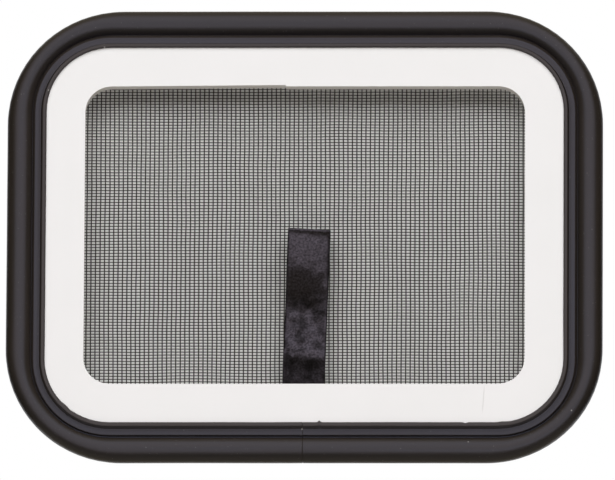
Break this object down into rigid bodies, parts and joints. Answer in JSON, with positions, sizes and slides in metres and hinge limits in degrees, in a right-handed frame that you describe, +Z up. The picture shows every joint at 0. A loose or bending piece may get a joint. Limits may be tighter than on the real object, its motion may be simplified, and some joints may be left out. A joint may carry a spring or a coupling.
{
  "type": "window insect screen",
  "caption": "Framed insect screen: white plate with a rounded opening over fine black mesh, hollow rubber edge trim all round, and a ribbon pull loop.",
  "frame": {"origin": "middle of the screen, on the centre of the bulb", "axes": "+X to the right seen from the room side, +Z up, and the room side faces -Y"},
  "size_m": [0.2272, 0.01, 0.1764],
  "materials": {
    "plate": "satin white foamed sheet, saw-cut edges",
    "seal": "extruded black rubber, matt",
    "mesh": "black woven coated yarn",
    "tape": "white foam tape",
    "ribbon": "black satin ribbon"
  },
  "bodies": {
    "root": {"frame_plate": "plate", "edge_seal": "seal", "insect_mesh": "mesh", "mesh_tape": "tape", "pull_ribbon": "ribbon"}
  },
  "joints": []
}
